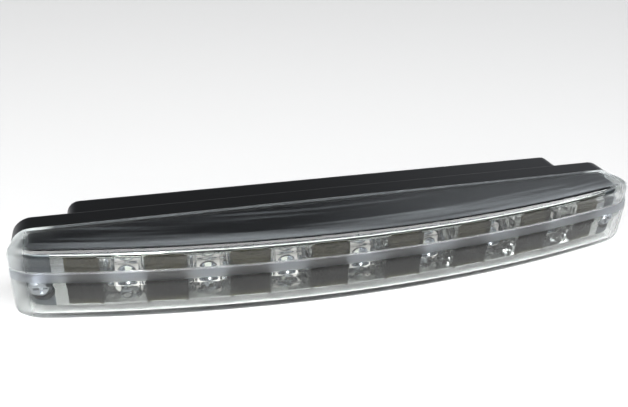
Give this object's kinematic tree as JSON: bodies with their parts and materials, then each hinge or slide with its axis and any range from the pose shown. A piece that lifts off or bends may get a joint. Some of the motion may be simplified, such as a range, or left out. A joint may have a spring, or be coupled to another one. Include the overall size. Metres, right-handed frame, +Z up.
{
  "type": "daytime running light",
  "caption": "Slim bowed daytime running light: clear lens over a metallised reflector with a row of light cups, on a black housing that bolts to a bracket.",
  "frame": {"origin": "middle of the lamp's footprint, on the surface it rests on", "axes": "+X along the lamp, -Y out of the lit front, +Z up"},
  "size_m": [0.16, 0.0354, 0.0178],
  "materials": {
    "lens": "clear moulded polycarbonate",
    "seal_rubber": "moulded rubber",
    "housing": "black moulded ABS",
    "reflector": "vacuum metallised ABS",
    "board": "thin metal-core board with white mask",
    "led": "white package with clear dome",
    "screw_steel": "zinc plated",
    "component_black": "moulded epoxy",
    "capacitor_can": "drawn can",
    "terminal": "moulded nylon",
    "insert_brass": "turned brass",
    "breather": "moulded with a membrane behind it"
  },
  "bodies": {
    "root": {"clear_lens": "lens", "lens_seal": "seal_rubber", "housing": "housing", "reflector": "reflector", "led_board": "board", "led_1": "led", "led_2": "led", "led_3": "led", "led_4": "led", "led_5": "led", "led_6": "led", "led_7": "led", "end_screws": "screw_steel", "board_screws": "screw_steel", "resistor_1": "component_black", "resistor_2": "component_black", "polarity_diode": "component_black", "smoothing_capacitor": "capacitor_can", "wire_terminal": "terminal", "bracket_inserts": "insert_brass", "cable_grommet": "seal_rubber", "breather_plug": "breather"}
  },
  "joints": []
}
